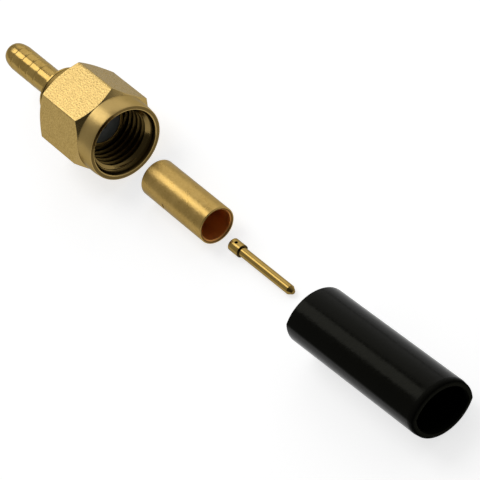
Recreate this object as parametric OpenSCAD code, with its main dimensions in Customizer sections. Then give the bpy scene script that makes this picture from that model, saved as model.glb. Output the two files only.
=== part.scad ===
// Crimp-type SMA plug, laid out on a bench with its loose crimp parts.
// From -X to +X: plug body with its captive hex coupling nut, crimp
// ferrule, centre contact and heat-shrink sleeve. The plug axis is along X,
// the mouth of the nut faces +X, and z = 0 is the bench.
// Lengths along X inside the plug are measured back from the nut's mouth.

/* [Coupling nut] */
// Hexagon size across the flats
nut_af = 8; // [7.5:0.1:9]
// Length of the nut from its rear face to its mouth
nut_len = 8.4; // [8:0.1:10]
// Length of the hexagon, chamfers included
hex_len = 6.45; // [6:0.05:7]
// Diameter of the round collar ahead of the hexagon
collar_d = 7.92; // [7.4:0.02:8]
// Slope of the hexagon's front chamfer, from the face
front_chamfer = 37; // [25:1:45]
// Slope of the hexagon's rear chamfer, from the face
rear_chamfer = 32; // [25:1:45]
// Minor diameter of the 1/4-36 coupling thread
thread_minor_d = 5.7; // [5.6:0.02:5.8]
// Length of the bore at the thread's minor diameter, ahead of the shroud
thread_len = 2.65; // [1.8:0.05:2.7]
// Depth of the plain entry ahead of the thread
entry_depth = 0.55; // [0.4:0.05:1.2]
// Diameter of the plain entry
entry_d = 6.4; // [6.36:0.02:6.6]

/* [Plug body] */
// Diameter of the front shroud, the outer conductor
shroud_d = 4.56; // [4.5:0.01:4.6]
// Depth of the shroud's front edge behind the nut's mouth
shroud_depth = 3.6; // [3.4:0.05:3.8]
// Length of the shroud ahead of the body's shoulder
shroud_len = 2.7; // [2.4:0.05:2.8]
// Diameter of the neck that the nut turns on
neck_d = 5.3; // [5.1:0.02:5.4]
// Length of the neck, from the shoulder to the rear cone
neck_len = 4.2; // [4:0.1:5]
// Diameter of the crimp stem
stem_d = 2.72; // [2.6:0.02:2.9]
// Length of the crimp stem behind the rear cone
stem_len = 7.45; // [7:0.05:8.5]
// Bore of the stem, for the cable's own dielectric
stem_bore_d = 1.6; // [1.54:0.02:1.62]
// Pitch of the ring grooves on the stem
groove_pitch = 1.31; // [1.2:0.01:1.4]
// Depth of each ring groove
groove_depth = 0.09; // [0.05:0.01:0.12]
// Width of each ring groove at the surface
groove_w = 0.26; // [0.2:0.02:0.4]

/* [Insulator] */
// Diameter of the insulator
insulator_d = 3.8; // [3.7:0.02:3.9]
// Length of the insulator
insulator_len = 5.4; // [5:0.1:5.6]

/* [Gasket] */
// Outer diameter of the gasket ring
gasket_d = 5.5; // [5.3:0.05:5.6]
// Thickness of the gasket ring
gasket_t = 0.8; // [0.6:0.05:1]

/* [Crimp ferrule] */
// Outer diameter of the ferrule
ferrule_d = 3.78; // [3.7:0.02:4]
// Wall of the ferrule
ferrule_wall = 0.33; // [0.3:0.01:0.4]
// Length of the ferrule
ferrule_len = 9.3; // [8.5:0.1:10]

/* [Centre contact] */
// Overall length of the contact
contact_len = 8.75; // [8:0.05:9.5]
// Diameter of the head that is soldered to the cable
head_d = 1.27; // [1.2:0.01:1.3]
// Length of the head
head_len = 1.36; // [1.2:0.02:1.6]
// Diameter of the mating pin
pin_d = 0.92; // [0.9:0.005:0.94]
// Length of the cone at the pin's tip
tip_len = 0.55; // [0.4:0.05:0.7]
// Bore of the solder cup
cup_d = 0.6; // [0.55:0.01:0.65]
// Diameter of the inspection hole in the head
sight_hole_d = 0.36; // [0.3:0.02:0.4]

/* [Heat-shrink sleeve] */
// Length of the sleeve
sleeve_len = 16.36; // [14:0.1:20]
// Width of the flattened section, from fold to fold
fold_w = 6.9; // [6.4:0.1:7.2]
// Height of the flattened section
fold_h = 5.5; // [5:0.1:6]
// Wall of the sleeve
sleeve_wall = 0.55; // [0.4:0.05:0.7]
// Turn of the section from lying flat
fold_tilt = 35; // [0:1:60]

/* [Layout] */
// Gap from the nut's mouth to the ferrule
gap_ferrule = 4.11; // [2:0.05:8]
// Gap from the ferrule to the contact
gap_contact = 1.89; // [1:0.05:6]
// Gap from the contact to the sleeve
gap_sleeve = 5.55; // [2:0.05:8]
// Sideways place of the ferrule
ferrule_y = -0.12; // [-0.5:0.01:0.5]
// Sideways place of the contact's rear end
contact_y = -0.22; // [-0.5:0.01:0.5]
// Turn of the contact on the bench, in degrees
contact_yaw = 0.8; // [-3:0.1:3]
// Sideways place of the sleeve's middle
sleeve_y = -0.62; // [-0.8:0.01:0.8]
// Turn of the sleeve on the bench, in degrees
sleeve_yaw = 1.9; // [-3:0.1:3]

/* [Hidden] */
$fn = 96;
slack = 0.01;            // hair gap of parts that are pressed together
gold = "#c9a352";
axis_z = nut_af / 2;     // height of the plug's axis, the nut lying on a flat

// Nut
corner_r = nut_af / 2 / cos(30);
bevel = 0.15;            // small edge breaks on the nut
mouth_d = 6.84;          // wide end of the countersink at the mouth
mouth_sink = 0.25;       // depth of that countersink
relief_d = 6.5;          // relief behind the thread, round the shroud
relief_end = 5.95;       // depth where it ends
land_d = 5.9;            // land between the relief and the ring groove
neck_fit = 0.06;         // radial running clearance on the neck
ring_slot_d = 6.4;       // groove for the retaining ring inside the nut

// Retaining ring
ring_t = 0.36;
ring_od = 6.1;
ring_id = 4.7;
ring_gap = 30;           // opening of the split ring, in degrees
ring_play = 0.02;        // axial clearance of the ring in the nut's groove
float_play = 0.14;       // how far the ring can slide in the neck's groove
ring_depth = shroud_depth + shroud_len + 0.6;

// Body
ring_seat_d = 4.6;       // floor of the neck's groove
gasket_seat_d = 4.36;    // undercut behind the shroud that keeps the gasket in place
shoulder_depth = shroud_depth + shroud_len;
cone_depth = shoulder_depth + neck_len;
cone_len = (neck_d - stem_d) / 2;
stem_root = cone_depth + cone_len;
body_end = stem_root + stem_len;
nose_len = 1.64;         // rounded end of the stem
nose_drop = 0.48;        // how much the radius falls along it
grooves = 4;
groove_start = 1.9;      // stem root to the first groove

// Contact
cup_len = 1.1;
tip_d = 0.26;
insulator_bore_d = pin_d + 0.04;
head_seat_d = head_d + 0.02;
head_seat_len = 2.0;
sight_hole_x = 0.6;      // from the contact's rear end
sight_hole_turn = 15;    // round the head from the top
contact_rest = atan((head_d - pin_d) / 2 / (contact_len - tip_len - head_len));

// Sleeve: its section is where two equal circles overlap
fold_a = fold_w / 2;
fold_b = fold_h / 2;
fold_r = (pow(fold_a, 2) + pow(fold_b, 2)) / (2 * fold_b);
fold_off = fold_r - fold_b;
fold_span = asin(fold_a / fold_r);
side_is_round = 90 - fold_tilt < fold_span;
sleeve_half_w = side_is_round ? fold_r - fold_off * sin(fold_tilt) : fold_a * cos(fold_tilt);
sleeve_z = fold_r - fold_off * cos(fold_tilt);
sleeve_half_x = sleeve_len / 2 * cos(sleeve_yaw) + sleeve_half_w * sin(sleeve_yaw);

// Places along X, with the whole set centred on the origin
contact_reach = contact_len * cos(contact_yaw) * cos(contact_rest);
set_len = body_end + gap_ferrule + ferrule_len + gap_contact + contact_reach
        + gap_sleeve + 2 * sleeve_half_x;
mouth_x = body_end - set_len / 2;
ferrule_x = mouth_x + gap_ferrule;
contact_x = ferrule_x + ferrule_len + gap_contact;
sleeve_x = contact_x + contact_reach + gap_sleeve + sleeve_half_x;

// Revolves a profile of [depth behind the mouth, radius] points round the plug's axis
module turned_part(profile) {
    translate([mouth_x, 0, axis_z])
        rotate([0, -90, 0])
            rotate_extrude()
                polygon([for (p = profile) [p[1], p[0]]]);
}

// Revolves a profile of [x, radius] points round the X axis
module turned_on_x(profile) {
    rotate([0, 90, 0])
        rotate_extrude()
            polygon([for (p = profile) [p[1], p[0]]]);
}

// Outer form of the nut: chamfered hexagon and collar, turned from one bar
module nut_blank() {
    hex_start = nut_len - hex_len;
    front_run = (corner_r + 0.1 - collar_d / 2) * tan(front_chamfer);
    rear_r = nut_af / 2 - 0.05;
    rear_run = (corner_r + 0.1 - rear_r) * tan(rear_chamfer);
    intersection() {
        translate([mouth_x - nut_len, 0, axis_z])
            rotate([0, 90, 0])
                rotate([0, 0, 30])
                    cylinder(h = nut_len, r = corner_r, $fn = 6);
        turned_part([[0, 0], [0, collar_d / 2 - bevel], [bevel, collar_d / 2],
                     [hex_start, collar_d / 2], [hex_start + front_run, corner_r + 0.1],
                     [nut_len - rear_run, corner_r + 0.1], [nut_len, rear_r], [nut_len, 0]]);
    }
    turned_part([[0, 0], [0, collar_d / 2 - bevel], [bevel, collar_d / 2],
                 [hex_start, collar_d / 2], [hex_start, 0]]);
}

// Captive coupling nut with a plain bore at the thread's minor diameter
module coupling_nut() {
    thread_start = entry_depth + (entry_d - thread_minor_d) / 2;
    thread_end = thread_start + thread_len;
    ring_front = ring_depth - ring_play;
    ring_rear = ring_depth + ring_t + ring_play;
    bore_r = neck_d / 2 + neck_fit;
    color(gold) difference() {
        nut_blank();
        turned_part([[-1, 0], [-1, mouth_d / 2], [0, mouth_d / 2], [mouth_sink, entry_d / 2],
                     [entry_depth, entry_d / 2], [thread_start, thread_minor_d / 2],
                     [thread_end, thread_minor_d / 2], [thread_end, relief_d / 2],
                     [relief_end, relief_d / 2], [relief_end, land_d / 2],
                     [ring_front, land_d / 2],
                     [ring_front, ring_slot_d / 2], [ring_rear, ring_slot_d / 2],
                     [ring_rear, bore_r], [nut_len + 1, bore_r], [nut_len + 1, 0]]);
    }
}

// Split spring ring that holds the nut on the body
module retaining_ring() {
    color("#9c7c3c") difference() {
        turned_part([[ring_depth, ring_id / 2], [ring_depth, ring_od / 2],
                     [ring_depth + ring_t, ring_od / 2], [ring_depth + ring_t, ring_id / 2]]);
        translate([mouth_x - ring_depth - ring_t / 2, 0, axis_z])
            rotate([0, 90, 0])
                linear_extrude(ring_t * 2, center = true)
                    polygon([[0, 0], [ring_od, ring_od * tan(ring_gap / 2)],
                             [ring_od, -ring_od * tan(ring_gap / 2)]]);
    }
}

// V-shaped ring groove, as a cutter, with its middle at a depth behind the mouth
module stem_groove(depth) {
    turned_part([[depth - groove_w / 2, stem_d / 2 + slack],
                 [depth, stem_d / 2 - groove_depth],
                 [depth + groove_w / 2, stem_d / 2 + slack]]);
}

// Body: shroud, shoulder, neck, rear cone and grooved crimp stem, turned in one piece
module connector_body() {
    edge = 0.08;
    slot_front = ring_depth - float_play;
    slot_rear = ring_depth + ring_t + float_play;
    insulator_end = shroud_depth + insulator_len;
    gasket_front = shoulder_depth - gasket_t;
    nose = [for (a = [0:9:90]) [body_end - nose_len * (1 - sin(a)),
                                stem_d / 2 - nose_drop * (1 - cos(a))]];
    color(gold) difference() {
        turned_part(concat(
            [[shroud_depth, insulator_d / 2 + slack], [shroud_depth, shroud_d / 2 - edge],
             [shroud_depth + edge, shroud_d / 2], [gasket_front, shroud_d / 2],
             [gasket_front, gasket_seat_d / 2], [shoulder_depth, gasket_seat_d / 2],
             [shoulder_depth, neck_d / 2 - edge], [shoulder_depth + edge, neck_d / 2],
             [slot_front, neck_d / 2], [slot_front, ring_seat_d / 2],
             [slot_rear, ring_seat_d / 2], [slot_rear, neck_d / 2],
             [cone_depth, neck_d / 2], [stem_root, stem_d / 2]],
            nose,
            [[body_end, stem_bore_d / 2], [insulator_end, stem_bore_d / 2],
             [insulator_end, insulator_d / 2 + slack]]));
        for (i = [0:grooves - 1])
            stem_groove(stem_root + groove_start + i * groove_pitch);
    }
}

// Soft gasket ring in the undercut at the root of the shroud, against the shoulder
module gasket() {
    color("#8f3a24")
        turned_part([[shoulder_depth - gasket_t + slack, gasket_seat_d / 2 + slack],
                     [shoulder_depth - gasket_t + slack, gasket_d / 2],
                     [shoulder_depth - slack, gasket_d / 2],
                     [shoulder_depth - slack, gasket_seat_d / 2 + slack]]);
}

// Insulator: its narrow front bore holds the pin, its wide rear bore the head
module insulator() {
    edge = 0.05;
    front = shroud_depth + edge;
    rear = shroud_depth + insulator_len - slack;
    color("#cfd2d0")
        turned_part([[front, insulator_bore_d / 2], [front, insulator_d / 2 - edge],
                     [front + edge, insulator_d / 2], [rear, insulator_d / 2],
                     [rear, head_seat_d / 2], [rear - head_seat_len, head_seat_d / 2],
                     [rear - head_seat_len, insulator_bore_d / 2]]);
}

// Thin tube with lightly broken edges, bevelled inside at both ends
module crimp_ferrule() {
    r = ferrule_d / 2;
    edge = 0.08;
    inner = r - ferrule_wall;
    lead = 0.16;
    color(gold)
        translate([ferrule_x, ferrule_y, r])
            turned_on_x([[0, inner + lead], [0, r - edge], [edge, r], [ferrule_len - edge, r],
                         [ferrule_len, r - edge], [ferrule_len, inner + lead],
                         [ferrule_len - lead, inner], [lead, inner]]);
}

// Contact, lying on its head and the front of its pin
module centre_contact() {
    color(gold)
        translate([contact_x, contact_y, head_d / 2 + head_len * sin(contact_rest)])
            rotate([0, contact_rest, contact_yaw])
                difference() {
                    turned_on_x([[0, cup_d / 2], [0, head_d / 2 - 0.05], [0.05, head_d / 2],
                                 [head_len, head_d / 2], [head_len, pin_d / 2],
                                 [contact_len - tip_len, pin_d / 2],
                                 [contact_len, tip_d / 2], [contact_len, 0],
                                 [cup_len, 0], [cup_len, cup_d / 2]]);
                    translate([sight_hole_x, 0, 0])
                        rotate([-sight_hole_turn, 0, 0])
                            cylinder(h = head_d, d = sight_hole_d, $fn = 24);
                }
}

// Section of the sleeve, drawn in by an inset
module fold_section(inset) {
    intersection() {
        translate([0, fold_off]) circle(r = fold_r - inset);
        translate([0, -fold_off]) circle(r = fold_r - inset);
    }
}

// Sleeve, pressed oval in its bag, with a fold line along each side
module heat_shrink_sleeve() {
    color("#232322")
        translate([sleeve_x, sleeve_y, sleeve_z])
            rotate([0, 0, sleeve_yaw])
                rotate([90, 0, 90])
                    rotate([0, 0, -fold_tilt])
                        linear_extrude(sleeve_len, center = true)
                            difference() {
                                fold_section(0);
                                fold_section(sleeve_wall);
                            }
}

coupling_nut();
retaining_ring();
connector_body();
gasket();
insulator();
crimp_ferrule();
centre_contact();
heat_shrink_sleeve();
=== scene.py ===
import math
import bpy
import bmesh
from mathutils import Matrix, Vector


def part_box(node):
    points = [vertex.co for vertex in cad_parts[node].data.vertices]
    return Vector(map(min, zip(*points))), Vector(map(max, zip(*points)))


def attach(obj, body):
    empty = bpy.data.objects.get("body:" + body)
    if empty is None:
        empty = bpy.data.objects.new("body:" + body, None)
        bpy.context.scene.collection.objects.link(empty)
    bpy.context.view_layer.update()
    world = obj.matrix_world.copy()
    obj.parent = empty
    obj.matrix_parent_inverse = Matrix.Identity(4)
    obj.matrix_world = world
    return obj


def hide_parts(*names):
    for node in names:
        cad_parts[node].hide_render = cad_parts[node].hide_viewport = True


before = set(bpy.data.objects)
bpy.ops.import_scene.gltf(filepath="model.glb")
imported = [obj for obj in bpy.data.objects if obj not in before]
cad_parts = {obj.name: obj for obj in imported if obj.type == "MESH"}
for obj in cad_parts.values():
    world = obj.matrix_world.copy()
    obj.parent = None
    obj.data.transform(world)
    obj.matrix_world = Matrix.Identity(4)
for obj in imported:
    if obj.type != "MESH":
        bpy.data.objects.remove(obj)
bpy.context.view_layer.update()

# ---------------------------------------------------------------- connector body
# The plug's body is one turned piece of brass, gold plated over nickel: a thin front
# shroud, a shoulder, the neck that the nut turns on, a short rear cone and the crimp
# stem with its four ring grooves. All sizes are in mm, depths from the nut's mouth.

mm = 0.001
nut_lo, nut_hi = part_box("coupling_nut")
body_lo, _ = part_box("connector_body")
mouth_x = nut_hi.x / mm
axis_z = (nut_lo.z + nut_hi.z) / 2 / mm


def eased(corners, closed=False, steps=3):
    """Path of (s, r, radius) corners with each corner eased into a short arc."""
    most = 0.45  # the share of an edge that one arc may take
    out = []
    count = len(corners)
    for i, corner in enumerate(corners):
        here = Vector(corner[:2])
        radius = corner[2] if len(corner) > 2 else 0
        if not radius or (not closed and i in (0, count - 1)):
            out.append(tuple(here))
            continue
        back = Vector(corners[i - 1][:2]) - here
        on = Vector(corners[(i + 1) % count][:2]) - here
        turn = math.pi - back.angle(on)
        cut = min(radius * math.tan(turn / 2), most * back.length, most * on.length)
        start = here + back.normalized() * cut
        end = here + on.normalized() * cut
        for k in range(steps + 1):
            t = k / steps
            out.append(tuple(start * (1 - t) ** 2 + here * 2 * t * (1 - t) + end * t * t))
    return out


def plug_place(s, r, turn):
    """Point at depth s behind the nut's mouth, radius r, turned about +X from +Z."""
    return Vector((mouth_x - s, -r * math.sin(turn), axis_z + r * math.cos(turn))) * mm


def depth_and_radius(p):
    """Depth behind the nut's mouth and distance from the plug's axis of a point in mm."""
    return mouth_x - p.x, math.hypot(p.y, p.z - axis_z)


def add_piece(name, vertices, faces):
    """Mesh piece with outward faces and smooth shading held by its large faces."""
    mesh = bpy.data.meshes.new(name)
    mesh.from_pydata([tuple(v) for v in vertices], [], faces)
    work = bmesh.new()
    work.from_mesh(mesh)
    bmesh.ops.remove_doubles(work, verts=work.verts, dist=2e-9)
    bmesh.ops.recalc_face_normals(work, faces=work.faces)
    work.to_mesh(mesh)
    work.free()
    for polygon in mesh.polygons:
        polygon.use_smooth = True
    piece = bpy.data.objects.new(name, mesh)
    bpy.context.scene.collection.objects.link(piece)
    hold = piece.modifiers.new("hold_flats", "WEIGHTED_NORMAL")
    hold.weight = 100
    hold.keep_sharp = True
    return piece


def tube_faces(rows, around, closed=True):
    """Quads between rings of points; closed also joins the last ring to the first."""
    faces = []
    for i in range(rows if closed else rows - 1):
        a, b = i * around, (i + 1) % rows * around
        for k in range(around):
            n = (k + 1) % around
            faces.append((a + k, a + n, b + n, b + k))
    return faces


def turned_piece(name, path, place, around=128, closed=True):
    """Revolves a path of (s, r) points; place(s, r, angle) says where each point goes."""
    vertices = []
    for s, r in path:
        for k in range(around):
            vertices.append(place(s, max(r, 0), 2 * math.pi * k / around))
    return add_piece(name, vertices, tube_faces(len(path), around, closed))


shroud_depth, shoulder_depth, cone_depth = 3.6, 6.3, 10.5
shroud_r, neck_r, stem_r, stem_bore_r = 2.28, 2.65, 1.36, 0.8
insulator_r, insulator_end, press_gap = 1.9, 9.0, 0.01
gasket_front, gasket_seat_r = 5.5, 2.18
slot_front, slot_rear, slot_r = 6.76, 7.4, 2.3
waist_taper, waist_front, waist_rear, waist_r = 8.0, 8.1, cone_depth - 0.25, neck_r - 0.05
flange_front = cone_depth - 0.2
waist_mark_front, waist_mark_rear = 7.5, cone_depth - 0.215
stem_root = cone_depth + neck_r - stem_r
stem_end = mouth_x - body_lo.x / mm
nose_len, nose_drop, nose_steps = 1.64, 0.48, 10
groove_count, first_groove, groove_pitch = 4, 1.9, 1.31
groove_half, groove_floor = 0.15, stem_r - 0.035

body_path = [(shroud_depth, insulator_r + press_gap, 0.03), (shroud_depth, shroud_r, 0.07),
             (gasket_front, shroud_r, 0.04), (gasket_front, gasket_seat_r, 0.02),
             (shoulder_depth, gasket_seat_r, 0.02), (shoulder_depth, neck_r, 0.07),
             (slot_front, neck_r, 0.02), (slot_front, slot_r, 0.02),
             (slot_rear, slot_r, 0.02), (slot_rear, neck_r, 0.02),
             (waist_taper, neck_r), (waist_front, waist_r, 0.04),
             (waist_rear, waist_r, 0.03), (flange_front, neck_r, 0.03),
             (cone_depth, neck_r, 0.03), (stem_root, stem_r, 0.05)]
for number in range(groove_count):
    middle = stem_root + first_groove + groove_pitch * number
    body_path += [(middle - groove_half, stem_r, 0.08), (middle, groove_floor, 0.05),
                  (middle + groove_half, stem_r, 0.08)]
for step in range(1, nose_steps + 1):
    part = math.radians(90 / nose_steps * step)
    body_path.append((stem_end - nose_len * (1 - math.sin(part)),
                      stem_r - nose_drop * (1 - math.cos(part)), 0.02))
body_path += [(stem_end, stem_bore_r, 0.02), (insulator_end, stem_bore_r, 0.02),
              (insulator_end, insulator_r + press_gap, 0.02)]
body = turned_piece("plug_body", eased(body_path, closed=True), plug_place)


def store_mark(piece, name, rule):
    """Stores rule's value at each vertex, for the piece's material to read by name."""
    marks = piece.data.attributes.new(name, "FLOAT", "POINT")
    for vertex, mark in zip(piece.data.vertices, marks.data):
        mark.value = rule(vertex.co / mm)


def link(tree, source, output, target, socket):
    tree.links.new(source.outputs[output], target.inputs[socket])


def add_node(tree, kind, x, y, **settings):
    node = tree.nodes.new(kind)
    node.location = (x, y)
    for key, value in settings.items():
        setattr(node, key, value)
    return node


def set_range(node, from_min=0.0, from_max=1.0, to_min=0.0, to_max=1.0):
    """Sets what a Map Range node takes in and what it gives out."""
    for name, value in (("From Min", from_min), ("From Max", from_max),
                        ("To Min", to_min), ("To Max", to_max)):
        node.inputs[name].default_value = value


def size_to_scale(tree, source, size, x, y):
    """Turns a size in mm into a texture scale, which counts features in a metre."""
    scale = add_node(tree, "ShaderNodeMath", x, y, operation="DIVIDE")
    scale.inputs[0].default_value = 1 / mm
    link(tree, source, size, scale, 1)
    return scale


def grain_group():
    """Tumbled or blasted grain: fine pits, soft mottle and thin random scratches."""
    swirl_share = 0.0012  # how far the scratches wander, as a share of the swirl's colour
    group = bpy.data.node_groups.new("plated_grain", "ShaderNodeTree")
    face = group.interface
    for name, default in (("Grain Size", 0.15), ("Mottle Size", 0.9), ("Scratch Size", 1.2)):
        socket = face.new_socket(name, in_out="INPUT", socket_type="NodeSocketFloat")
        socket.default_value = default
    for name in ("Grain", "Mottle", "Scratch"):
        face.new_socket(name, in_out="OUTPUT", socket_type="NodeSocketFloat")
    start = add_node(group, "NodeGroupInput", -900, 0)
    end = add_node(group, "NodeGroupOutput", 500, 0)
    where = add_node(group, "ShaderNodeTexCoord", -900, -300)
    for number, (size, output, detail, rough) in enumerate(
            (("Grain Size", "Grain", 2.0, 0.55), ("Mottle Size", "Mottle", 3.0, 0.5))):
        scale = size_to_scale(group, start, size, -700, -200 * number)
        noise = add_node(group, "ShaderNodeTexNoise", -500, -200 * number)
        noise.inputs["Detail"].default_value = detail
        noise.inputs["Roughness"].default_value = rough
        link(group, where, "Object", noise, "Vector")
        link(group, scale, 0, noise, "Scale")
        link(group, noise, "Fac", end, output)
    scale = size_to_scale(group, start, "Scratch Size", -700, -500)
    bend = add_node(group, "ShaderNodeTexNoise", -500, -500)
    bend.inputs["Detail"].default_value = 1.0
    bend.inputs["Scale"].default_value = 700
    link(group, where, "Object", bend, "Vector")
    swirl = add_node(group, "ShaderNodeMixRGB", -300, -500)
    swirl.inputs[0].default_value = swirl_share
    link(group, where, "Object", swirl, 1)
    link(group, bend, "Color", swirl, 2)
    cells = add_node(group, "ShaderNodeTexVoronoi", -100, -500, feature="DISTANCE_TO_EDGE")
    link(group, swirl, 0, cells, "Vector")
    link(group, scale, 0, cells, "Scale")
    thin = add_node(group, "ShaderNodeMapRange", 120, -500)
    set_range(thin, from_max=0.012, to_min=1.0, to_max=0.0)
    link(group, cells, "Distance", thin, "Value")
    gate = add_node(group, "ShaderNodeTexNoise", -100, -750)
    gate.inputs["Scale"].default_value = 1500
    link(group, where, "Object", gate, "Vector")
    pick = add_node(group, "ShaderNodeMapRange", 120, -750)
    set_range(pick, from_min=0.56, from_max=0.66)
    link(group, gate, "Fac", pick, "Value")
    both = add_node(group, "ShaderNodeMath", 300, -600, operation="MULTIPLY")
    link(group, thin, "Result", both, 0)
    link(group, pick, "Result", both, 1)
    link(group, both, 0, end, "Scratch")
    return group


def turning_group():
    """Fine tool lines left by turning: bands that run round the X axis."""
    group = bpy.data.node_groups.new("turning_lines", "ShaderNodeTree")
    face = group.interface
    pitch = face.new_socket("Line Pitch", in_out="INPUT", socket_type="NodeSocketFloat")
    pitch.default_value = 0.05
    face.new_socket("Lines", in_out="OUTPUT", socket_type="NodeSocketFloat")
    start = add_node(group, "NodeGroupInput", -700, 0)
    end = add_node(group, "NodeGroupOutput", 300, 0)
    where = add_node(group, "ShaderNodeTexCoord", -700, -200)
    squash = add_node(group, "ShaderNodeVectorMath", -450, -100, operation="MULTIPLY")
    squash.inputs[1].default_value = (1, 0.02, 0.02)
    link(group, where, "Object", squash, 0)
    scale = size_to_scale(group, start, "Line Pitch", -450, 100)
    noise = add_node(group, "ShaderNodeTexNoise", -200, 0)
    noise.inputs["Detail"].default_value = 3.0
    noise.inputs["Roughness"].default_value = 0.6
    link(group, squash, 0, noise, "Vector")
    link(group, scale, 0, noise, "Scale")
    link(group, noise, "Fac", end, "Lines")
    return group


plated_grain = grain_group()
turning_lines = turning_group()


def toned(tree, x, y, mark, under, tone):
    """Mixes the colour under it towards a tone where the mark is 1."""
    mix = add_node(tree, "ShaderNodeMix", x, y, data_type="RGBA")
    mix.inputs["B"].default_value = (*tone, 1)
    link(tree, mark, "Fac", mix, "Factor")
    link(tree, under, "Result", mix, "A")
    return mix


def times_plus(tree, x, y, factor):
    """Node that multiplies its first input by a factor and adds its third."""
    node = add_node(tree, "ShaderNodeMath", x, y, operation="MULTIPLY_ADD")
    node.inputs[1].default_value = factor
    return node


def uneven_gloss(tree, speckle, output, recess, rough, swing, dulling):
    """Roughness that wanders by swing with the speckle and grows by dulling in a recess."""
    gloss = add_node(tree, "ShaderNodeMapRange", -500, 0)
    set_range(gloss, 0.3, 0.7, rough - swing / 2, rough + swing / 2)
    link(tree, speckle, output, gloss, "Value")
    matt = times_plus(tree, -300, 0, dulling)
    link(tree, recess, "Fac", matt, 0)
    link(tree, gloss, "Result", matt, 2)
    return matt


def gold_plate(name, light, dark, rough, grain, mottle, grain_depth, line_pitch, line_depth,
               rough_swing=0.1, scratch_depth=0.0015, tint=0.5, painted_shade_tone=(0.06, 0.038, 0.012),
               edge_tint=(0.63, 0.61, 0.55), dulling=0.25, painted_red_reflection=(0.92, 0.47, 0.14),
               buffing=0.12, smoothing=0.85):
    """Gold plate over brass. Sizes in mm; light and dark are the two tones of its mottle."""
    material = bpy.data.materials.new(name)
    material.use_nodes = True
    tree = material.node_tree
    shader = tree.nodes["Principled BSDF"]
    shader.inputs["Metallic"].default_value = 1.0
    shader.inputs["Specular Tint"].default_value = (*edge_tint, 1)
    speckle = add_node(tree, "ShaderNodeGroup", -900, 100, node_tree=plated_grain)
    speckle.inputs["Grain Size"].default_value = grain
    speckle.inputs["Mottle Size"].default_value = mottle
    lines = add_node(tree, "ShaderNodeGroup", -900, -250, node_tree=turning_lines)
    lines.inputs["Line Pitch"].default_value = line_pitch
    # The grain, which a mark of turned faces calms
    tone = times_plus(tree, -680, 250, tint)
    smooth = add_node(tree, "ShaderNodeAttribute", -1120, 300, attribute_name="turned")
    calm = add_node(tree, "ShaderNodeMapRange", -900, 420)
    set_range(calm, to_max=smoothing)
    link(tree, smooth, "Fac", calm, "Value")
    sand = add_node(tree, "ShaderNodeMix", -800, 250, data_type="FLOAT")
    sand.inputs["B"].default_value = 0.5
    link(tree, calm, "Result", sand, "Factor")
    link(tree, speckle, "Grain", sand, "A")
    link(tree, sand, "Result", tone, 0)
    # Its colour: two tones, then painted shade, a dark tone where the recess mark is set, and a
    # painted red reflection where the bore's mark is set
    half = add_node(tree, "ShaderNodeMath", -680, 420, operation="MULTIPLY")
    half.inputs[1].default_value = 1 - tint
    link(tree, speckle, "Mottle", half, 0)
    link(tree, half, 0, tone, 2)
    spread = add_node(tree, "ShaderNodeMapRange", -500, 250)
    set_range(spread, from_min=0.36, from_max=0.64)
    link(tree, tone, 0, spread, "Value")
    colour = add_node(tree, "ShaderNodeMix", -300, 250, data_type="RGBA")
    colour.inputs["A"].default_value = (*dark, 1)
    colour.inputs["B"].default_value = (*light, 1)
    link(tree, spread, "Result", colour, "Factor")
    recess = add_node(tree, "ShaderNodeAttribute", -500, 480, attribute_name="recess")
    # Painted shade: the colour goes to a dark tone where the recess mark is set
    shaded = toned(tree, -120, 300, recess, colour, painted_shade_tone)
    # Painted reflection: a bright red tone where the bore's mark is set stands in for the light
    # the gold throws round its own bore
    inside = add_node(tree, "ShaderNodeAttribute", -300, 620, attribute_name="painted_red_reflection")
    red_reflection_painted = toned(tree, 60, 350, inside, shaded, painted_red_reflection)
    link(tree, red_reflection_painted, "Result", shader, "Base Color")
    # Its gloss, which the polish mark raises
    matt = uneven_gloss(tree, speckle, "Mottle", recess, rough, rough_swing, dulling)
    polish = add_node(tree, "ShaderNodeAttribute", -300, -120, attribute_name="polish")
    buffed = times_plus(tree, -120, 0, -buffing)
    link(tree, polish, "Fac", buffed, 0)
    link(tree, matt, 0, buffed, 2)
    link(tree, buffed, 0, shader, "Roughness")
    # Its skin: pits of the grain, tool lines and scratches
    pits = add_node(tree, "ShaderNodeMath", -680, -120, operation="MULTIPLY")
    pits.inputs[1].default_value = grain_depth
    link(tree, sand, "Result", pits, 0)
    cut = times_plus(tree, -500, -250, line_depth)
    link(tree, lines, "Lines", cut, 0)
    link(tree, pits, 0, cut, 2)
    scored = times_plus(tree, -320, -250, -scratch_depth)
    link(tree, speckle, "Scratch", scored, 0)
    link(tree, cut, 0, scored, 2)
    bump = add_node(tree, "ShaderNodeBump", -140, -250)
    bump.inputs["Distance"].default_value = mm
    link(tree, scored, 0, bump, "Height")
    link(tree, bump, "Normal", shader, "Normal")
    return material


body_gold = gold_plate("body_gold", light=(0.40, 0.27, 0.082), dark=(0.32, 0.205, 0.054),
                       rough=0.16, grain=0.2, mottle=1.1, grain_depth=0.004,
                       line_pitch=0.05, line_depth=0.006)
body.data.materials.append(body_gold)


def body_recess(p):
    """Painted shade: 0 where the plating keeps its own colour, more where shade falls: inside the
    nut, on the neck's -Y side and on the rear cone.
    """
    s, r = depth_and_radius(p)
    if s < shroud_depth + 0.08 and r > insulator_r - 0.02:
        return 0
    if s < waist_mark_front or r < stem_bore_r + 0.05:
        return 0.8
    if s < waist_mark_rear:
        return 0.36 - 0.5 * p.y / neck_r
    return 0.3 if cone_depth < s < stem_root - 0.02 else 0


def body_polish(p):
    """Below 0 on the neck and the shroud's end, which stay as matt as the tool left them."""
    s, r = depth_and_radius(p)
    if s < shroud_depth + 0.01 and r > insulator_r:
        return -3
    return -2 if waist_mark_front < s < waist_mark_rear else 0


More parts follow.
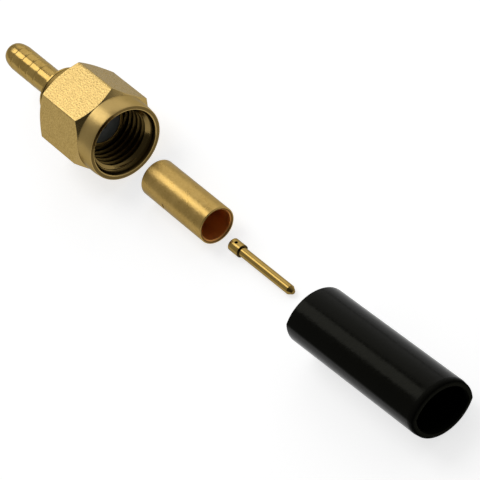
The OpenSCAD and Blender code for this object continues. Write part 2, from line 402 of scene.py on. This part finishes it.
store_mark(body, "recess", body_recess)
store_mark(body, "polish", body_polish)
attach(body, "root")
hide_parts("connector_body")

# ---------------------------------------------------------------- insulator
# A turned rod of white PTFE pressed into the shroud, with the small bore that
# centres the pin. Its front face is scraped flat and slightly waxy.

insulator_face, insulator_rear, head_seat = 3.65, 8.99, 6.99
pin_bore_r, head_bore_r = 0.48, 0.645
insulator_path = [(insulator_face, pin_bore_r, 0.03), (insulator_face, insulator_r, 0.05),
                  (insulator_rear, insulator_r, 0.05), (insulator_rear, head_bore_r, 0.02),
                  (head_seat, head_bore_r, 0.02), (head_seat, pin_bore_r, 0.02)]
insulator = turned_piece("dielectric", eased(insulator_path, closed=True), plug_place, around=96)


def soft_stuff(name, colour, shade, rough, size, depth, rough_swing=0.12, gloss_level=0.5,
               sheen=(1, 1, 1), sliced_tone=(0.018, 0.018, 0.013), dulling=0.8):
    """Dull plastic or rubber: two close tones in soft patches and a fine uneven skin."""
    material = bpy.data.materials.new(name)
    material.use_nodes = True
    tree = material.node_tree
    shader = tree.nodes["Principled BSDF"]
    shader.inputs["Specular Tint"].default_value = (*sheen, 1)
    shader.inputs["Specular IOR Level"].default_value = gloss_level
    speckle = add_node(tree, "ShaderNodeGroup", -800, 0, node_tree=plated_grain)
    speckle.inputs["Grain Size"].default_value = size
    speckle.inputs["Mottle Size"].default_value = size * 6
    mix = add_node(tree, "ShaderNodeMix", -300, 250, data_type="RGBA")
    mix.inputs["A"].default_value = (*shade, 1)
    mix.inputs["B"].default_value = (*colour, 1)
    link(tree, speckle, "Mottle", mix, "Factor")
    sliced = add_node(tree, "ShaderNodeAttribute", -300, 700, attribute_name="sliced")
    raw = toned(tree, -120, 350, sliced, mix, sliced_tone)
    link(tree, raw, "Result", shader, "Base Color")
    recess = add_node(tree, "ShaderNodeAttribute", -500, -150, attribute_name="recess")
    matt = uneven_gloss(tree, speckle, "Grain", recess, rough, rough_swing, dulling)
    link(tree, matt, 0, shader, "Roughness")
    bump = add_node(tree, "ShaderNodeBump", -140, -250)
    bump.inputs["Distance"].default_value = depth * mm
    link(tree, speckle, "Grain", bump, "Height")
    link(tree, bump, "Normal", shader, "Normal")
    return material


# Painted shade: the white PTFE is given the dark grey it shows in the shade of the nut's mouth
ptfe = soft_stuff("ptfe", colour=(0.168, 0.18, 0.17), shade=(0.12, 0.13, 0.125), rough=0.5,
                  size=0.2, depth=0.006)
insulator.data.materials.append(ptfe)
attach(insulator, "root")
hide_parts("insulator")

# ---------------------------------------------------------------- gasket
# A soft ring of red-brown silicone in the undercut behind the shroud. It seals
# against the jack's nose when the nut is tight.

silicone = soft_stuff("silicone", colour=(0.30, 0.07, 0.035), shade=(0.22, 0.05, 0.025),
                      rough=0.6, size=0.12, depth=0.01)


def dress_solid(node, material):
    """Gives a small hidden ring, whose own solid is shown, its material."""
    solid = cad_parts[node].data
    solid.materials.clear()
    solid.materials.append(material)


dress_solid("gasket", silicone)

# ---------------------------------------------------------------- retaining ring
# A split ring of bare spring bronze, snapped into the nut. It carries the nut
# and slides a hair in the neck's groove.

spring_bronze = gold_plate("spring_bronze", light=(0.40, 0.26, 0.10), dark=(0.30, 0.18, 0.06),
                           rough=0.35, grain=0.1, mottle=0.6, grain_depth=0.004,
                           line_pitch=0.04, line_depth=0.004)
dress_solid("retaining_ring", spring_bronze)

# ---------------------------------------------------------------- coupling nut
# Turned from hexagon brass bar, threaded 1/4-36 inside, then tumbled and gold
# plated, which leaves a sandy satin on the flats and small rounded edges.

hexagon_r, corner_ease = 4.0, 0.09
collar_r, hex_depth, nut_depth, rear_r = 3.96, 1.95, 8.4, 3.95
front_slope, rear_slope = math.tan(math.radians(37)), math.tan(math.radians(32))
rim_face, rim_outer_r, rim_taper = -0.05, 3.87, 0.7
nut_bore_r, land_r, relief_r, relief_rear = 2.71, 2.95, 3.25, 5.95
ring_front, ring_rear, ring_groove_r = 6.88, 7.28, 3.2
thread_pitch, crest_r, root_r, root_flat = 0.7056, 2.85, 3.18, 0.05
thread_top, thread_bottom, entry_r = 0.6, 4.95, 3.2
nut_around, rows_per_turn = 216, 36


def hexagon_radius(turn):
    """Distance to the hexagon's flats, with its corners slightly rounded."""
    half_flat = math.radians(30)
    off = half_flat - abs(half_flat - turn % math.radians(60))  # angle from the flat's middle
    gap = half_flat - off  # angle from the corner
    flat = hexagon_r / math.cos(off)
    centre = hexagon_r / math.cos(half_flat) - corner_ease / math.cos(half_flat)
    side = centre * math.sin(gap)
    if side < corner_ease:
        return min(flat, centre * math.cos(gap) + math.sqrt(corner_ease ** 2 - side ** 2))
    return flat


def chamfers(reach):
    """Depths at which the front and rear chamfers come to the hexagon's radius reach."""
    return hex_depth + (reach - collar_r) * front_slope, nut_depth - (reach - rear_r) * rear_slope


def nut_section(turn):
    """Path round the nut's wall at one angle, from the mouth over the outside to the bore."""
    reach = hexagon_radius(turn)
    front, rear = chamfers(reach)
    mouth = [(0.56, 3.26), (0.3, 3.36), (0.02, 3.40), (rim_face, 3.46, 0.05), (-0.045, 3.54),
             (rim_face, 3.80), (rim_face, rim_outer_r, 0.03)]
    outside = [(rim_taper, collar_r, 6), (hex_depth, collar_r, 0.05), (front, reach, 0.07),
               (rear, reach, 0.08), (nut_depth, rear_r, 0.06)]
    inside = [(nut_depth, nut_bore_r, 0.05), (ring_rear, nut_bore_r, 0.02),
              (ring_rear, ring_groove_r, 0.02), (ring_front, ring_groove_r, 0.02),
              (ring_front, land_r, 0.02), (relief_rear, land_r, 0.03),
              (relief_rear, relief_r, 0.03), (thread_bottom + 0.02, relief_r)]
    return eased(mouth + outside + inside)


def thread_radius(row):
    """Radius of the internal 60 degree thread at a row of its pitch."""
    at = (row % rows_per_turn) / rows_per_turn * thread_pitch
    flank = (abs(at - thread_pitch / 2) - root_flat) / math.tan(math.radians(30))
    return max(root_r - max(flank, 0), crest_r)


def row_depth(row, turn):
    """Depth of a row of the thread, which comes forward by one pitch in a whole turn."""
    return thread_top + thread_pitch * (row / rows_per_turn - turn / (2 * math.pi))


# Columns stand evenly round the nut, and closer where they hug the hexagon's corners
even_turns = [2 * math.pi * k / nut_around for k in range(nut_around)]
corner_turns = [math.radians(30 + 60 * k + d) for k in range(6)
                for d in (-1.35, -0.9, -0.45, 0, 0.45, 0.9, 1.35)]
clear_turns = [t for t in even_turns
               if min(abs(t - c) for c in corner_turns) > math.radians(0.3)]
all_turns = sorted({round(t, 6) for t in clear_turns + corner_turns})
count = len(all_turns)

# The wall without its thread
section_rows = len(nut_section(0))
vertices, faces = [], []
for turn in all_turns:
    for s, r in nut_section(turn):
        vertices.append(plug_place(s, r, turn))
for k in range(count):
    a, b = k * section_rows, (k + 1) % count * section_rows
    for i in range(section_rows - 1):
        faces.append((a + i, a + i + 1, b + i + 1, b + i))

# The thread: rows that follow its helix, cut off square at a ring at either end
thread_rows = int((thread_bottom - thread_top) / thread_pitch * rows_per_turn) + rows_per_turn + 2
hair = 1e-5
top_ring, bottom_ring, grid = [], [], []
for turn in all_turns:
    top_ring.append(len(vertices))
    vertices.append(plug_place(thread_top, entry_r, turn))
for turn in all_turns:
    last = (thread_bottom - row_depth(0, turn)) / thread_pitch * rows_per_turn
    bottom_ring.append(len(vertices))
    vertices.append(plug_place(thread_bottom, thread_radius(last), turn))
for k, turn in enumerate(all_turns):
    column = []
    for row in range(thread_rows + 1):
        s = row_depth(row, turn)
        if s <= thread_top + hair:
            column.append(top_ring[k])
        elif s >= thread_bottom - hair:
            column.append(bottom_ring[k])
        else:
            entry_cone = entry_r - (s - thread_top)
            column.append(len(vertices))
            vertices.append(plug_place(s, max(thread_radius(row), entry_cone), turn))
    grid.append(column)


def grid_point(k, row):
    return grid[k][row] if row <= thread_rows else bottom_ring[k]


def add_face(*corners):
    """Adds a quad, or the triangle that is left where two of its corners are one."""
    ring = tuple(dict.fromkeys(corners))
    if len(ring) > 2:
        faces.append(ring)


# Known fault: from the last column to the first, the shift should be taken off, not added
for k in range(count):
    n = (k + 1) % count
    shift = rows_per_turn if n == 0 else 0
    for row in range(thread_rows):
        add_face(grid_point(k, row), grid_point(k, row + 1),
                 grid_point(n, row + 1 + shift), grid_point(n, row + shift))
for k in range(count):
    n = (k + 1) % count
    faces.append((k * section_rows, n * section_rows, top_ring[n], top_ring[k]))
    faces.append(((k + 1) * section_rows - 1, bottom_ring[k], bottom_ring[n],
                  (n + 1) * section_rows - 1))
nut = add_piece("threaded_nut", vertices, faces)
nut_gold = gold_plate("nut_gold", light=(0.52, 0.365, 0.135), dark=(0.40, 0.275, 0.095),
                      rough=0.24, grain=0.17, mottle=0.8, grain_depth=0.032,
                      line_pitch=0.06, line_depth=0.002, tint=0.9, scratch_depth=0,
                      painted_shade_tone=(0.10, 0.066, 0.02), edge_tint=(0.56, 0.53, 0.45), dulling=0.1)
nut.data.materials.append(nut_gold)
rim_mark, mouth_r, cone_end, collar_edge = 0.1, 3.41, 1.05, 3.97


def on_entry_cone(s):
    return thread_top - 0.01 < s < cone_end


def nut_recess(p):
    """Painted shade: 1 deep in the mouth, less on the entry cone, a painted dark reflection on
    the rim's ring, little outside.
    """
    s, r = depth_and_radius(p)
    if r < mouth_r and s > 0.01:
        return 0.65 if on_entry_cone(s) else 1
    if s < rim_mark and r < 3.86:
        return 0.9 if 3.52 < r < 3.83 else 0
    return 0.25 if r < collar_edge else 0.13


def nut_polish(p):
    """1 on the faced rim and the entry cone, below 0 on the collar that tumbling has dulled."""
    s, r = depth_and_radius(p)
    if s < rim_mark and 3.5 < r < 3.84 or r < 3.3 and on_entry_cone(s):
        return 1
    return -0.5 if 3.85 < r < collar_edge and s < hex_depth else 0


def nut_turned(p):
    """1 on the turned faces, 0 on the hexagon's flats."""
    turn = math.atan2(-p.y, p.z - axis_z) % (2 * math.pi)
    front, rear = chamfers(hexagon_radius(turn))
    return 1 if mouth_x - p.x < front or mouth_x - p.x > rear else 0


store_mark(nut, "recess", nut_recess)
store_mark(nut, "turned", nut_turned)
store_mark(nut, "polish", nut_polish)
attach(nut, "nut")
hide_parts("coupling_nut")

# ---------------------------------------------------------------- crimp ferrule
# A short length of thin drawn tube, soft brass with a satin gold plate. Its ends
# are cut square and lightly broken, and a neighbour has struck one nick in its side.

ferrule_lo, ferrule_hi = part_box("crimp_ferrule")
ferrule_len = (ferrule_hi.x - ferrule_lo.x) / mm
ferrule_r = (ferrule_hi.z - ferrule_lo.z) / 2 / mm
ferrule_y = (ferrule_lo.y + ferrule_hi.y) / 2 / mm
ferrule_bore, bore_bevel, red_reflection_len = ferrule_r - 0.33, 0.16, 4
nick_s, nick_turn = 3.3, math.radians(81)
nick_len, nick_width, nick_depth = 0.14, 0.22, 0.16

# Rows are packed along the nick, and two rows in the bore bound the mark of the painted red
# reflection
ferrule_path = eased([(0, ferrule_bore + bore_bevel, 0.04), (0, ferrule_r, 0.1),
                      (nick_s - 0.3, ferrule_r)]
                     + [(nick_s - 0.24 + 0.04 * k, ferrule_r) for k in range(13)]
                     + [(nick_s + 0.3, ferrule_r), (ferrule_len, ferrule_r, 0.1),
                        (ferrule_len, ferrule_bore + bore_bevel, 0.04),
                        (ferrule_len - bore_bevel, ferrule_bore, 0.06),
                        (ferrule_len - 0.3, ferrule_bore), (ferrule_len - 3.9, ferrule_bore),
                        (ferrule_len - 4.7, ferrule_bore), (0.3, ferrule_bore),
                        (bore_bevel, ferrule_bore, 0.06)], closed=True)


def ferrule_place(s, r, turn):
    """Point of the tube at s from its rear end, pressed in where the nick was struck."""
    if r > ferrule_r - 0.05:
        away = math.hypot((s - nick_s) / nick_len, (turn - nick_turn) * ferrule_r / nick_width)
        r -= nick_depth * math.exp(-away ** 2)
    return Vector((ferrule_lo.x / mm + s, ferrule_y - r * math.sin(turn),
                   ferrule_r + r * math.cos(turn))) * mm


ferrule = turned_piece("crimp_tube", ferrule_path, ferrule_place, around=160)
ferrule_gold = gold_plate("ferrule_gold", light=(0.43, 0.285, 0.09), dark=(0.34, 0.22, 0.062),
                          rough=0.30, grain=0.2, mottle=1.0, grain_depth=0.012,
                          line_pitch=0.2, line_depth=0.004, painted_shade_tone=(0.13, 0.065, 0.018),
                          scratch_depth=0.0005)
ferrule.data.materials.append(ferrule_gold)


def ferrule_recess(p):
    """Painted shade: 1 on the cut ends, in the bore and in the nick, which all get a darker tone.
    """
    r = math.hypot(p.y - ferrule_y, p.z - ferrule_r)
    middle = ferrule_lo.x / mm + 0.35 < p.x < ferrule_hi.x / mm - 0.35
    return 1 if r < ferrule_r - (0.05 if middle else 0.08) else 0


def ferrule_red_reflection(p):
    """Painted reflection: 1 in the front of the bore, where a bright red tone stands in for the
    gold's own red reflections.
    """
    r = math.hypot(p.y - ferrule_y, p.z - ferrule_r)
    return 1 if r < ferrule_bore + 0.02 and p.x > ferrule_hi.x / mm - red_reflection_len else 0


store_mark(ferrule, "recess", ferrule_recess)
store_mark(ferrule, "painted_red_reflection", ferrule_red_reflection)
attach(ferrule, "root")
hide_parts("crimp_ferrule")

# ---------------------------------------------------------------- centre contact
# The pin is turned from brass and plated bright. Its head has a solder cup in
# the rear face and a small inspection hole in its side.

contact_lo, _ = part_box("centre_contact")
contact_rest, contact_yaw = math.radians(1.4656), math.radians(0.8)
head_r, head_len, pin_r, contact_len = 0.635, 1.36, 0.46, 8.75
cup_r, cup_depth, cone_len, tip_r = 0.3, 1.1, 0.48, 0.2
hole_s, hole_r, hole_turn = 0.6, 0.165, math.radians(15)
drill_from, drill_to = 0.1, 1.2
cup_mark_len, cup_mark_r, cone_mark_len = 1.3, 0.58, 0.46
contact_y, set_in = -0.22, 0.005
contact_start = Vector((contact_lo.x / mm + set_in, contact_y,
                        head_r + head_len * math.sin(contact_rest)))
contact_along = Vector((math.cos(contact_rest) * math.cos(contact_yaw),
                        math.cos(contact_rest) * math.sin(contact_yaw), -math.sin(contact_rest)))
contact_side = Vector((-math.sin(contact_yaw), math.cos(contact_yaw), 0))
contact_up = contact_along.cross(contact_side)


def contact_place(s, r, turn):
    """Point at s from the contact's rear end and r from its tilted axis."""
    return (contact_start + contact_along * s + contact_up * (r * math.cos(turn))
            - contact_side * (r * math.sin(turn))) * mm


# From the floor of the solder cup out over its rim and along to the tip
contact_path = eased([(cup_depth, 0), (cup_depth, cup_r, 0.05), (0.05, cup_r, 0.02), (0, cup_r),
                      (0, head_r, 0.05), (head_len, head_r, 0.04), (head_len, pin_r, 0.02),
                      (head_len + 0.1, pin_r), (head_len + 0.13, pin_r),
                      (contact_len - cone_len, pin_r, 0.04), (contact_len - 0.01, tip_r, 0.06),
                      (contact_len, 0)])
contact = turned_piece("contact_pin", contact_path, contact_place, around=72, closed=False)


def drill_place(s, r, turn):
    """Point of the drill that opens the inspection hole, s from the contact's axis."""
    drill_along = contact_up * math.cos(hole_turn) + contact_side * math.sin(hole_turn)
    drill_side = contact_side * math.cos(hole_turn) - contact_up * math.sin(hole_turn)
    return (contact_start + contact_along * (hole_s + r * math.cos(turn))
            + drill_along * s + drill_side * r * math.sin(turn)) * mm


drill_path = [(drill_from, 0), (drill_from, hole_r), (drill_to, hole_r), (drill_to, 0)]
drill = turned_piece("drill", drill_path, drill_place, around=24, closed=False)
contact.modifiers["hold_flats"].show_viewport = False
drilled = contact.modifiers.new("sight_hole", "BOOLEAN")
drilled.object = drill
drilled.solver = "EXACT"
bpy.context.view_layer.update()
depsgraph = bpy.context.evaluated_depsgraph_get()
finished = bpy.data.meshes.new_from_object(contact.evaluated_get(depsgraph))
contact.modifiers.remove(drilled)
contact.modifiers["hold_flats"].show_viewport = True
contact.modifiers["hold_flats"].weight = 50
finished.set_sharp_from_angle(angle=math.radians(40))
contact.data = finished
bpy.data.objects.remove(drill)
contact_gold = gold_plate("contact_gold", light=(0.34, 0.225, 0.064), dark=(0.29, 0.188, 0.048),
                          rough=0.14, grain=0.15, mottle=0.8, grain_depth=0.003,
                          line_pitch=0.04, line_depth=0.004)
contact.data.materials.append(contact_gold)


def contact_recess(p):
    """Painted shade: 1 in the cup, in the hole and at the foot of the pin, 0.4 on the tip's cone.
    """
    off = p - contact_start
    s = off.dot(contact_along)
    r = (off - contact_along * s).length
    in_head = -0.01 < s < cup_mark_len and r < cup_mark_r
    if in_head or head_len - 0.02 < s < head_len + 0.11:
        return 1
    return 0.4 if s > contact_len - cone_mark_len else 0


store_mark(contact, "recess", contact_recess)
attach(contact, "root")
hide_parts("centre_contact")

# ---------------------------------------------------------------- heat-shrink sleeve
# A cut length of black polyolefin tube, pressed oval in its bag, so that a soft
# fold line runs along each side. The blade has rolled the front edge a little.

sleeve_lo, sleeve_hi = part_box("heat_shrink_sleeve")
sleeve_len, fold_half, flat_half, sleeve_wall = 16.36, 3.45, 2.75, 0.55
fold_tilt, sleeve_twist, sleeve_yaw = math.radians(35), math.radians(2.3), math.radians(1.9)
half_len, rolled_len, wall_steps = sleeve_len / 2, 0.62, 24
fold_r = (fold_half ** 2 + flat_half ** 2) / (2 * flat_half)
fold_off = fold_r - flat_half
sleeve_y, twist_lift = -0.62, 0.018  # the lift keeps the twisted edge off the bench
front_fade, front_fade_len, rear_fade, rear_fade_len = 0.68, 0.45, 0.06, 0.05
sleeve_mid = Vector(((sleeve_lo.x + sleeve_hi.x) / 2 / mm, sleeve_y,
                     (sleeve_lo.z + sleeve_hi.z) / 2 / mm + twist_lift))


def fold_outline(inset, points=64):
    """Outline of the oval, drawn in by inset: two equal arcs that meet at the fold lines."""
    r = fold_r - inset
    half = math.acos(fold_off / r)
    out = []
    for side in (1, -1):
        for k in range(points):
            t = k / points
            a = -half + 2 * half * t
            x, y = r * math.sin(a), r * math.cos(a) - fold_off
            out.append((side * x, side * y))
    return out


def sleeve_place(x, across, up):
    """Puts a point of the sleeve's section, turned to its slightly twisted tilt, on the bench."""
    tilt = fold_tilt - sleeve_twist * x / (sleeve_len / 2)
    y = across * math.cos(tilt) + up * math.sin(tilt)
    z = up * math.cos(tilt) - across * math.sin(tilt)
    return (sleeve_mid + Vector((x * math.cos(sleeve_yaw) - y * math.sin(sleeve_yaw),
                                 x * math.sin(sleeve_yaw) + y * math.cos(sleeve_yaw), z))) * mm


wall_path = eased([(-half_len, 0.30), (-half_len, 0, 0.06), (half_len - rolled_len, 0, 0.2),
                   (half_len - 0.1, 0.07, 0.1), (half_len, 0.30),
                   (half_len, sleeve_wall, 0.15), (-half_len, sleeve_wall, 0.15)],
                  closed=True, steps=5)

# The long walls are divided, so that the twist runs through them evenly
dense = []
for i, (x, inset) in enumerate(wall_path):
    dense.append((x, inset))
    next_x, next_inset = wall_path[(i + 1) % len(wall_path)]
    if abs(next_x - x) > half_len:
        for k in range(1, wall_steps):
            dense.append((x + (next_x - x) * k / wall_steps,
                          inset + (next_inset - inset) * k / wall_steps))
vertices = []
for x, inset in dense:
    for across, up in fold_outline(inset):
        vertices.append(sleeve_place(x, across, up))
sleeve = add_piece("shrink_tube", vertices, tube_faces(len(dense), len(fold_outline(0))))
polyolefin = soft_stuff("black_polyolefin", colour=(0.0026, 0.0026, 0.0018),
                        shade=(0.0016, 0.0016, 0.0011), rough=0.19, size=0.3, depth=0.008,
                        gloss_level=0.048, sheen=(1, 1, 0.8))
sleeve.data.materials.append(polyolefin)


def sleeve_along(p):
    """Distance of a point from the sleeve's middle, along it; its front is above 0."""
    return (p - sleeve_mid).dot(Vector((math.cos(sleeve_yaw), math.sin(sleeve_yaw), 0)))


def sleeve_recess(p):
    """Fades to 1 over the rolled front end, and over the thin rear edge."""
    along = sleeve_along(p)
    if along > 0:
        fade = (along - half_len + front_fade) / front_fade_len
    else:
        fade = (-along - half_len + rear_fade) / rear_fade_len
    return max(0, min(1, fade))


def sleeve_sliced(p):
    """1 on the raw cut face at each end."""
    return 1 if abs(sleeve_along(p)) > half_len - 0.04 else 0


store_mark(sleeve, "recess", sleeve_recess)
store_mark(sleeve, "sliced", sleeve_sliced)
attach(sleeve, "root")
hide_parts("heat_shrink_sleeve")

# ---------------------------------------------------------------- bench and light
# The pieces lie on a plain white bench. A large softbox stands behind and above
# them, and a weaker wall of light on the far side fills the shadows.

bench = bpy.data.objects.new("bench", bpy.data.meshes.new("bench"))
bench_half = 3.0
bench.data.from_pydata([(-bench_half, -bench_half, 0), (bench_half, -bench_half, 0),
                        (bench_half, bench_half, 0), (-bench_half, bench_half, 0)],
                       [], [(0, 1, 2, 3)])
bpy.context.scene.collection.objects.link(bench)
paper = bpy.data.materials.new("bench_white")
paper.use_nodes = True
tree = paper.node_tree
shader = tree.nodes["Principled BSDF"]
shader.inputs["Base Color"].default_value = (0.5, 0.5, 0.5, 1)
shader.inputs["Roughness"].default_value = 0.9
shader.inputs["Specular IOR Level"].default_value = 0.1

# The eye, gloss and glass see the bench lifted to white, and its light stays plain
bench_lift = 0.72
path = add_node(tree, "ShaderNodeLightPath", -700, -300)
eye_or_gloss = add_node(tree, "ShaderNodeMath", -500, -300, operation="MAXIMUM")
link(tree, path, "Is Camera Ray", eye_or_gloss, 0)
link(tree, path, "Is Glossy Ray", eye_or_gloss, 1)
any_view = add_node(tree, "ShaderNodeMath", -300, -300, operation="MAXIMUM")
link(tree, eye_or_gloss, 0, any_view, 0)
link(tree, path, "Is Transmission Ray", any_view, 1)
lift = add_node(tree, "ShaderNodeMath", -100, -300, operation="MULTIPLY")
lift.inputs[1].default_value = bench_lift
link(tree, any_view, 0, lift, 0)
shader.inputs["Emission Color"].default_value = (1, 1, 1, 1)
link(tree, lift, 0, shader, "Emission Strength")
bench.data.materials.append(paper)

# The room is dim in front of the pieces and lighter behind them
room_front = Vector((0.80, -0.42, 0.43)).normalized()
world = bpy.data.worlds.new("studio")
bpy.context.scene.world = world
world.use_nodes = True
tree = world.node_tree
sky = tree.nodes["Background"]
where = add_node(tree, "ShaderNodeTexCoord", -800, 0)
frontness = add_node(tree, "ShaderNodeVectorMath", -600, 0, operation="DOT_PRODUCT")
frontness.inputs[1].default_value = room_front
link(tree, where, "Generated", frontness, 0)
dim = add_node(tree, "ShaderNodeMapRange", -400, 0, interpolation_type="SMOOTHSTEP")
set_range(dim, from_min=0.05, from_max=0.9, to_min=0.52, to_max=0.07)
link(tree, frontness, "Value", dim, "Value")
link(tree, dim, "Result", sky, "Strength")
sky.inputs["Color"].default_value = (1, 1, 1, 1)


def softbox(name, direction, distance, width, height, radiance):
    """Square lamp that faces the pieces; radiance is the brightness that metal shows."""
    lamp = bpy.data.lights.new(name, "AREA")
    lamp.shape = "RECTANGLE"
    lamp.size, lamp.size_y = width, height
    lamp.energy = radiance * math.pi * width * height
    thing = bpy.data.objects.new(name, lamp)
    towards = Vector(direction).normalized()
    thing.location = towards * distance
    thing.rotation_euler = towards.to_track_quat("Z", "Y").to_euler()
    bpy.context.scene.collection.objects.link(thing)


softbox("main_softbox", (-0.62, 0.0, 0.76), distance=0.5, width=0.225, height=0.40, radiance=2.65)
softbox("far_wall", (-0.60, 0.62, 0.44), distance=0.62, width=0.46, height=0.5, radiance=0.85)

camera_place = Vector((159.866, -39.78, 180.54))
camera = bpy.data.cameras.new("camera")
camera.sensor_width = 36
camera.lens = 202.7
camera.clip_start = 0.01
view = bpy.data.objects.new("camera", camera)
right, up, back = (0.5889, 0.7265, -0.3542), (-0.4797, 0.6669, 0.5702), (0.6505, -0.1659, 0.7412)
aim = Matrix((right, up, back)).transposed().to_4x4()
view.matrix_world = Matrix.Translation(camera_place * mm) @ aim
bpy.context.scene.collection.objects.link(view)
bpy.context.scene.camera = view
bpy.context.scene.view_settings.view_transform = "Standard"
